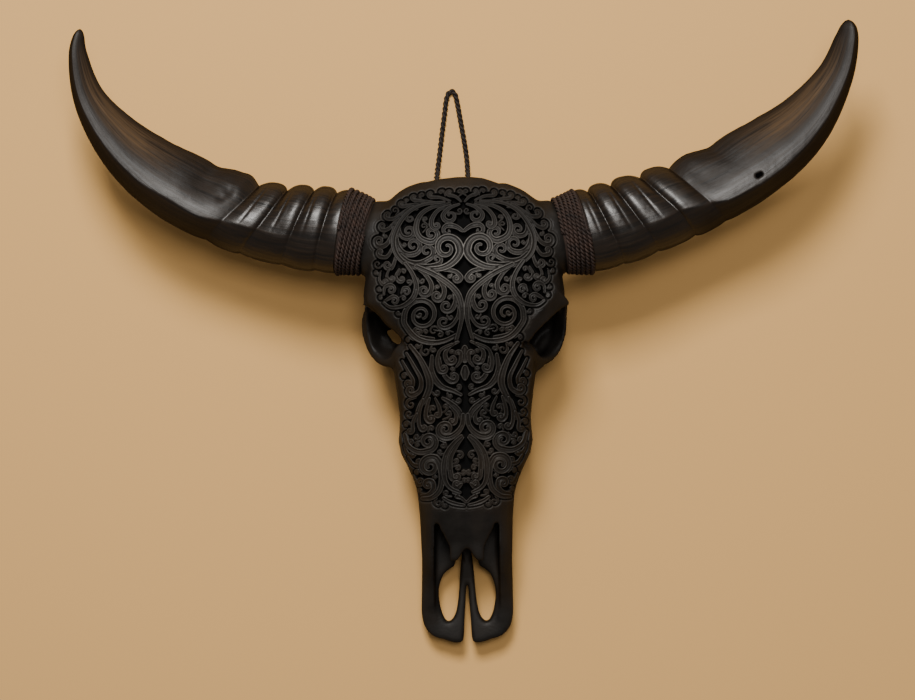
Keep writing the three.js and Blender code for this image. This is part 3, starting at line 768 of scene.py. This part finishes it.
def carveField():
    cell = carving["step"]
    across, down = np.meshgrid(np.arange(0, halfWide, cell), np.arange(0, halfLong, cell), indexing="ij")
    within = edgeDistance(across, down)
    nearest = np.full(across.shape, 1e9)
    needed = np.interp(down, carving["fillerFrom"], carving["fillerRoom"])
    openings = np.min([np.hypot(across, down - d) - radius for d, radius in carving["openings"]], 0)

    def reachOf(points, halves):  # distance to the stroke's edge and its half width there
        reach = np.full(across.shape, 1e9)
        width = np.zeros(across.shape)
        for (a, d), half in zip(points, halves):
            span = half + 9
            window = (slice(max(int((a - span) / cell), 0), max(int((a + span) / cell) + 2, 0)),
                      slice(max(int((d - span) / cell), 0), max(int((d + span) / cell) + 2, 0)))
            off = np.hypot(across[window] - a, down[window] - d) - half
            nearer = off < reach[window]
            reach[window] = np.where(nearer, off, reach[window])
            width[window] = np.where(nearer, half, width[window])
        np.minimum(nearest, reach, out=nearest)
        return reach, width

    strokes = [reachOf(*traceScroll(*scroll)) for scroll in scrolls]
    fillers = []
    for _ in range(carving["fillers"]):
        free = np.minimum(np.minimum(nearest, openings), np.minimum(within, across + 1.2)) - needed
        if free.max() < 0:
            break
        curl = fillingCurl(across, down, free + needed, np.minimum(nearest, 12))
        fillers.append(reachOf(*traceScroll(*curl)))
    hem, margin = carving["hem"]
    distance = np.minimum(margin - nearest, within + 2)  # the field's edge follows the curls
    distance = np.maximum(within - hem, distance)
    depth = depthAt(down)
    height = -depth * smoothStep(-0.2, 1.8, distance)
    # a thin line along the field's edge, lighter: partly wear, partly painted highlight
    wearAndHighlight = 0.06 * np.exp(-((distance + 0.8) / 0.9) ** 2)
    # painted highlight: the strokes lighter all over, and most round one spot where the light fell
    # brightest
    least, more, spotA, reachA, spotD, reachD = carving["lightPool"]
    lightPool = least + more * np.exp(-((across - spotA) / reachA) ** 2 - ((down - spotD) / reachD) ** 2)
    bold = carving["bold"]
    for reach, width in fillers + strokes:
        touched = reach < carving["touch"]
        off, half = reach[touched], np.maximum(width[touched], 0.5)
        part = np.clip(1 + off / half, 0, None)  # 0 on the middle line, 1 at the edge
        scale = np.clip(half / bold, 0.4, 1.25)
        top = -carving["channel"] * scale * np.clip(1 - (part / 0.8) ** 2, 0, 1) ** 0.8
        top += carving["ridge"] * scale * np.exp(-((part / 0.15) ** 2)) * (half > bold)
        top -= 0.5 * np.clip((part - 0.84) / 0.16, 0, 1) ** 2
        moat = np.minimum(height[touched], -carving["moat"] * smoothStep(1.6, 0.4, off))
        wall = -depth[touched] * smoothStep(0, 1.4, off) - 0.5
        height[touched] = np.where(off <= 0, top, np.maximum(moat, np.minimum(wall, 0)))
        # rims and ridges of the strokes lighter, partly worn and partly painted highlight, most in the pool
        # of painted light
        rim = smoothStep(0.66, 0.88, part) * smoothStep(1.15, 0.98, part)
        ridge = 0.5 * np.exp(-((part / 0.16) ** 2)) * (half > bold)
        wornHighlight = np.maximum(0.04, np.maximum(0.95 * rim, ridge)) * lightPool[touched]
        wearAndHighlight[touched] = np.where(off <= 0.3, wornHighlight, wearAndHighlight[touched] * smoothStep(0.4, 1.5, off))
    # painted shade: the deep cuts go near-black, and the top of the field is darker
    paintedShade = np.maximum(smoothStep(-1.8, -4.2, height), 0.4 * smoothStep(66, 30, down) * (distance > 0))
    print("carving traced:", len(strokes), "scrolls and", len(fillers), "filling curls a half")
    return np.stack((height, wearAndHighlight, paintedShade, distance))


field = carveField()


def readField(across, down):  # between the worked-out cells
    i = np.clip(across / carving["step"], 0, field.shape[1] - 1.001)
    j = np.clip(down / carving["step"], 0, field.shape[2] - 1.001)
    i0, j0 = i.astype(int), j.astype(int)
    f, g = i - i0, j - j0
    upper = field[:, i0, j0] * (1 - f) + field[:, i0 + 1, j0] * f
    lower = field[:, i0, j0 + 1] * (1 - f) + field[:, i0 + 1, j0 + 1] * f
    return upper * (1 - g) + lower * g


def planOf(x, y):  # hand-cut, so the two halves drift a little
    across = np.abs(x) / mm
    across = across + 0.7 * np.sin(y / mm / 23 + 1.3) * np.sign(x) * smoothStep(4, 20, across)
    down = carving["crownY"] - y / mm + 0.8 * np.sin(x / mm / 31 + 0.6)
    return across, down


def carvedSheet(name, fromDown, toDown, half):
    cell = carving["cell"]
    bm = newGrid(int(2 * half / cell), int((toDown - fromDown) / cell))
    middle = carving["crownY"] - (fromDown + toDown) / 2
    bmesh.ops.scale(bm, verts=bm.verts, vec=(2 * half * mm, (toDown - fromDown) * mm, 1))
    bmesh.ops.translate(bm, verts=bm.verts, vec=(0, middle * mm, 0))
    places = np.array([v.co[:2] for v in bm.verts])
    height, wearAndHighlight, paintedShade, distance = readField(*planOf(*places.T))
    # wear with painted highlight on the strokes' rims and ridges
    wearAndHighlightLayer = bm.verts.layers.float.new("wearAndHighlight")
    # painted shade for the deep cuts and the top of the field
    paintedShadeLayer = bm.verts.layers.float.new("paintedShade")
    spare = []
    for i, vertex in enumerate(bm.verts):
        top = topOfBone(*vertex.co[:2]) if distance[i] > -6 else None
        if top is None:
            spare.append(vertex)
            continue
        lift = 0.2 - 0.9 * smoothStep(1.5, 5.5, -distance[i])
        vertex.co.z = top + (height[i] + lift) * mm
        vertex[wearAndHighlightLayer] = wearAndHighlight[i]
        vertex[paintedShadeLayer] = paintedShade[i]
    bmesh.ops.delete(bm, geom=spare, context="VERTS")
    addPiece(name, meshFrom(bm, name), boneMaterial)


def sinkBone():  # the bone under the carved field goes deeper than the carving
    spots, normals = readVertices(boneMesh)
    across, down = planOf(*spots.T[:2])
    distance = readField(across, np.clip(down, 0, halfLong - 1))[3]
    sink = (depthAt(down) + 1.3) * mm * smoothStep(-1.4, 0.8, distance)
    for i in np.flatnonzero((distance > -1.4) & (normals[:, 2] > 0.1)):
        top = topOfBone(spots[i, 0], spots[i, 1])
        if top is not None and top - spots[i, 2] < 2.5 * mm:
            spots[i, 2] -= sink[i]
    boneMesh.vertices.foreach_set("co", spots.ravel())
    boneMesh.update()


carvedSheet("carvedForehead", 0, 172, 102)
carvedSheet("carvedFace", 171.4, 357, 76)
sinkBone()
addPiece("skullBone", boneMesh, boneMaterial, boneNodes)


# Cheek teeth: folded crowns over the solids' plain ones, with ridged chewing faces on the floor
toothForm = {
    "long": (9.4, 10.9),
    "wide": (8, 12.2),
    "groove": (0.06, 0.34),
    "ribs": (0.05, 0.13),
    "rings": [(0, 2.4), (0.3, 2.2), (0.45, 0.7), (0.62, 2), (0.8, 0.3), (0.95, 0.5), (1, 1.6)],
    "rise": [(1.02, 8), (1.04, 16), (1.03, 24), (1, 31), (0.94, 37)],
    "around": 80,
}


def makeTeeth():
    bm = bmesh.new()
    wearAndHighlightLayer = bm.verts.layers.float.new("wearAndHighlight")
    around = np.linspace(0, 2 * math.pi, toothForm["around"], endpoint=False)
    for i, (toothX, toothY) in enumerate(toothPlaces()):
        share = (i // 2) / (teeth["count"] - 1)
        long, wide = (np.interp(share, (0, 1), toothForm[key]) for key in ("long", "wide"))
        groove, ribs = (np.interp(share, (0.3, 0.7), toothForm[key]) for key in ("groove", "ribs"))
        y = long * np.sign(np.sin(around)) * np.abs(np.sin(around)) ** 0.86
        x = wide * np.sign(np.cos(around)) * np.abs(np.cos(around)) ** 0.8
        cheekSide = x * toothX > 0
        ribbed = 1 + ribs * (np.cos(2 * math.pi * y / (0.74 * long)) - 0.6)
        lobed = 1 - groove * np.exp(-((y / (0.24 * long)) ** 2))
        x *= np.where(cheekSide, ribbed, lobed)
        rows = []
        for scale, height in toothForm["rings"] + toothForm["rise"]:
            lean = 0.06 * height * np.sign(toothX)
            row = []
            for dx, dy in zip(x * scale, y * scale):
                vertex = bm.verts.new(((toothX + dx - lean) * mm, (toothY + dy) * mm, height * mm))
                vertex[wearAndHighlightLayer] = 0.1 if height < 0.6 else 0.02
                row.append(vertex)
            rows.append(row)
        for low, high in zip(rows, rows[1:]):
            for j in range(len(low)):
                bm.faces.new((low[j - 1], low[j], high[j], high[j - 1]))
    bmesh.ops.remove_doubles(bm, verts=bm.verts, dist=1e-6)
    bmesh.ops.recalc_face_normals(bm, faces=bm.faces)
    addPiece("cheekTeeth", meshFrom(bm, "cheekTeeth"), boneMaterial)


makeTeeth()


# Horns: a grid wrapped round each horn's curve, with its keel, leaning rings and dents
hornForm = {
    "bindingEnds": (102, 129),
    "traced": 4000,
    "samples": 1600,
    "tuck": 7,
    "depth": 0.84,
    "around": 160,
    "along": 420,
    "ringRise": 7.5,
    "ringLean": (9, 34, 95),  # mm across the horn at the binding and further out, and how far out
    "ring": (0.75, 2.6, 28, 11),  # skew, roundness, mm that give it its full height, mm of fading past it
    "keelFrom": (25, 130),
    "keelWave": (0.06, 15),
    "keel": (1.6, 0.78, 1.12, 0.66),  # how the section rounds above it and below it
    "grain": 0.35,
    "fineGrain": 0.18,
    "crease": 1.5,
    "tip": (0.976, 0.024),
}
horns = {
    "Right": {
        "side": 1,
        "nodes": ("horn_right", "horn_binding_right"),
        "notches": [-9, 14, 42, 77, 110],
        "creases": [(31, 0.9), (60, 1), (4, 0.6)],
        "keel": [(70, -0.3), (130, -0.36), (188, -0.62), (260, -0.54)],  # mm out, and sine of its angle
        "swells": [(134, 16, 2.4), (164, 9, -1.6), (192, 18, 1.2)],
        "dents": [
            (312, 169, 2.2, 4.2), (315, 170.6, 2, 3.2), (330, 196, 16, 1), (259, 166, 17, 3.2),
            (246, 176, 9, 1),
        ],
        "rows": [  # mm: x, y, z and width, from the root to the tip
            (72, 103, 121, 84), (102, 109, 118, 82), (129, 114, 116, 90), (168, 124, 113, 92),
            (216, 140, 110, 88), (275, 164, 109, 82), (331, 199, 111, 76), (368, 231, 115, 61),
            (397, 274, 122, 40), (409.5, 313, 129, 26), (411, 334, 133, 12.5),
        ],
    },
    "Left": {
        "side": -1,
        "nodes": ("horn_left", "horn_binding_left"),
        "notches": [-14, 10, 35, 67, 101],
        "creases": [(26, 0.9), (54, 0.9), (86, 1.1)],
        "keel": [(70, -0.3), (220, -0.52)],
        "swells": [(115, 11, 3.9), (133, 11, 2.2), (156, 9, -1.6), (184, 18, 1)],
        "dents": [(248, 160, 6, 2), (256, 153, 5, 1.6), (228, 168, 7, 1.4), (271, 168, 16, 3.2)],
        "rows": [
            (72, 104, 121, 84), (102, 110, 118, 83), (130, 117, 116, 91), (164, 121, 113, 92),
            (197, 126, 110, 87), (239, 137, 109, 83), (293, 161, 110, 79), (336, 189, 112, 70),
            (371.5, 223, 116, 53), (397, 263, 122, 34), (406.5, 307, 130, 20), (403.5, 334, 133, 9),
        ],
    },
}


def hornAxis(horn):  # line with widths, edge and face directions, and mm past the binding, out to the tip
    rows = np.array(horn["rows"], float) * (horn["side"], 1, 1, 1)
    inner, outer = hornForm["bindingEnds"]
    steps = np.linspace(0, len(rows) - 1, hornForm["traced"])
    line = np.array([smoothRow(rows, step) for step in steps])
    line = line[np.abs(line[:, 0]).searchsorted(inner):]
    run = lengthAlong(line[:, :3])
    even = np.linspace(0, run[-1], hornForm["samples"])
    line = np.stack([np.interp(even, run, line[:, i]) for i in range(4)], 1)
    along = unitRows(np.gradient(line[:, :3], axis=0))
    edge = unitRows(np.cross((0, 0, 1), along) * horn["side"])
    face = np.cross(along, edge) * horn["side"]
    root = hornForm["samples"] // 8  # the line still runs outward there
    start = float(np.interp(outer, np.abs(line[:root, 0]), even[:root]))
    return line, edge, face, even - start


def ringHeight(along, notches):  # 0 on a ring's round top, -1 in the notch between two
    skew, roundness, full, fade = hornForm["ring"]
    height = -np.ones_like(along)
    for low, high in zip(notches, notches[1:]):
        part = np.clip((along - low) / (high - low), 0, 1) ** skew
        bump = -np.clip((high - low) / full, 0.7, 1) * np.abs(2 * part - 1) ** roundness
        height = np.where((along >= low) & (along < high), bump, height)
    past = along - notches[-1]
    return np.where(past > 0, -np.exp(-np.maximum(past, 0) / fade), height)


def makeHorn(name, horn, line, edge, face, along):
    bm = newGrid(hornForm["along"], hornForm["around"])
    sheet = np.array([v.co[:2] for v in bm.verts]) + 0.5
    first = float(np.interp(-hornForm["tuck"], along, np.arange(len(along))))
    row = first + (len(along) - 1 - first) * sheet[:, 0]
    index = np.round(row).astype(int)
    angle = (sheet[:, 1] - 0.5) * 2 * math.pi  # 0 on the face, a quarter turn on the upper edge
    run, sine, cosine = along[index], np.sin(angle), np.cos(angle)
    wave, length = hornForm["keelWave"]
    keel = np.interp(run, *np.transpose(horn["keel"]))
    keel += wave * np.sin(run / length + 1) * smoothStep(240, 150, run)
    bend, blunt, bendBelow, bluntBelow = hornForm["keel"]
    above = (1 - np.clip((sine - keel) / (1 - keel), 0, 1) ** bend) ** blunt
    below = (1 - np.clip((keel - sine) / (1 + keel), 0, 1) ** bendBelow) ** bluntBelow
    keeled = smoothStep(*hornForm["keelFrom"], run) * (1 - 0.5 * smoothStep(330, 420, run))
    front = cosine + (np.where(sine > keel, above, below) - cosine) * keeled
    out = np.where(cosine > 0, front, cosine)
    near, far, reached = hornForm["ringLean"]
    lean = np.interp(run, (0, reached), (near, far)) * (1 - sine) / 2
    strength = 0.32 + 0.68 * smoothStep(-0.9, 0.7, sine + 0.35 * np.maximum(cosine, 0))
    fade = smoothStep(-3, 3, run)
    place = np.stack((run / 26, 2.2 * sine, 2.2 * cosine), 1)
    grain = np.array([noise.fractal(Vector(p), 0.7, 2.1, 4) for p in place]) * hornForm["grain"]
    fine = np.array([noise.noise(Vector((p[0] * 0.35, p[1] * 9, p[2] * 9))) for p in place])
    sink = hornForm["ringRise"] * ringHeight(run - lean, horn["notches"]) * strength * fade
    sink = sink + grain + hornForm["fineGrain"] * fine
    sink -= 5 * smoothStep(1, -4, run)
    faced = smoothStep(0.92, 0.55, sine) * smoothStep(-0.5, 0.1, sine) * (cosine > 0) * fade
    for middle, span, rise in horn["swells"]:
        sink += rise * np.exp(-(((run - lean - middle) / span) ** 2)) * smoothStep(-0.2, 0.8, sine)
    for middle, depth in horn["creases"]:
        sink -= depth * np.exp(-(((run - lean - middle) / hornForm["crease"]) ** 2)) * faced
    tipFrom, tipLong = hornForm["tip"]
    tip = np.sqrt(np.clip(1 - np.clip((sheet[:, 0] - tipFrom) / tipLong, 0, 1) ** 2, 0, 1))
    half = line[index, 3] / 2 * tip
    reach = half + sink * np.clip(half / 30, 0, 1)
    spot = line[index, :3] + edge[index] * (reach * sine)[:, None]
    spot += face[index] * (reach * out * hornForm["depth"])[:, None]
    # painted shade: the inside of a hole goes near-black
    paintedShade = np.zeros(len(spot))
    for x, y, radius, depth in horn["dents"]:
        near = np.exp(-((spot[:, 0] - horn["side"] * x) ** 2 + (spot[:, 1] - y) ** 2) / radius**2)
        spot -= face[index] * (depth * near * (cosine > 0))[:, None]
        if depth > radius:  # a hole, with painted shade inside
            paintedShade = np.maximum(paintedShade, near * (cosine > 0))
    grown = bm.verts.layers.float_vector.new("grown")
    paintedShadeLayer = bm.verts.layers.float.new("paintedShade")
    share = np.clip(run / along[-1], 0, 1)
    for i, vertex in enumerate(bm.verts):
        vertex.co = spot[i] * mm
        vertex[grown] = (share[i], cosine[i], sine[i])
        vertex[paintedShadeLayer] = paintedShade[i]
    closeTube(bm)
    addPiece("horn" + name, meshFrom(bm, "horn" + name), hornMaterial, [horn["nodes"][0]])


# Bindings: two-strand cord wound side by side round each horn's root
binding = {
    "turns": 6,
    "samples": 300,
    "strands": 2,
    "strand": 1.32,
    "offset": 1.2,
    "pitch": 9.5,
    "roundness": 1,
    "spread": (0.025, 0.95),  # where the turns start, and how much of the binding's width they take up
    "flare": 2.2,
    "unevenness": (0.12, 11, 27),  # mm, times a turn, and where it starts
    "bed": 1.6,
    "sleeve": 3.2,  # mm that the dark sleeve lies under the turns
    "sleeveGrid": (8, 64),
}


def makeBinding(name, horn, line, edge, face, along):
    last = np.interp(0, along, np.arange(len(along)))
    turn = np.linspace(0, binding["turns"], binding["turns"] * binding["samples"])
    first, share = binding["spread"]
    part = (turn / binding["turns"]) * share + first
    index = np.interp(part, (0, 1), (0, last)).astype(int)
    angle = turn * 2 * math.pi * horn["side"]
    out = edge[index] * np.sin(angle)[:, None] + face[index] * np.cos(angle)[:, None]
    reach = line[index, 3] / 2 + binding["flare"] * part - binding["bed"]
    path = line[index, :3] + edge[index] * (reach * np.sin(angle))[:, None]
    path += face[index] * (reach * np.cos(angle) * hornForm["depth"])[:, None]
    uneven, often, phase = binding["unevenness"]
    path += out * uneven * np.sin(turn * often + phase)[:, None]
    strands = layStrands(path * mm, out, binding["strands"], binding["offset"] * mm, binding["pitch"] * mm)
    bm = newGrid(*binding["sleeveGrid"])
    for vertex in bm.verts:
        i = int((vertex.co.x + 0.5) * last)
        angle = vertex.co.y * 2 * math.pi
        reach = line[i, 3] / 2 + binding["flare"] * i / last - binding["sleeve"]
        spot = line[i, :3] + edge[i] * reach * math.sin(angle)
        spot = spot + face[i] * reach * math.cos(angle) * hornForm["depth"]
        vertex.co = spot * mm
    closeTube(bm)
    bm.from_mesh(ropeMesh("rope", strands, binding["strand"] * mm, binding["roundness"]))
    mesh = meshFrom(bm, "binding" + name)
    addPiece("binding" + name, mesh, bindingMaterial, [horn["nodes"][1]])


for hornName, hornSettings in horns.items():
    hornLine = hornAxis(hornSettings)
    makeHorn(hornName, hornSettings, *hornLine)
    makeBinding(hornName, hornSettings, *hornLine)
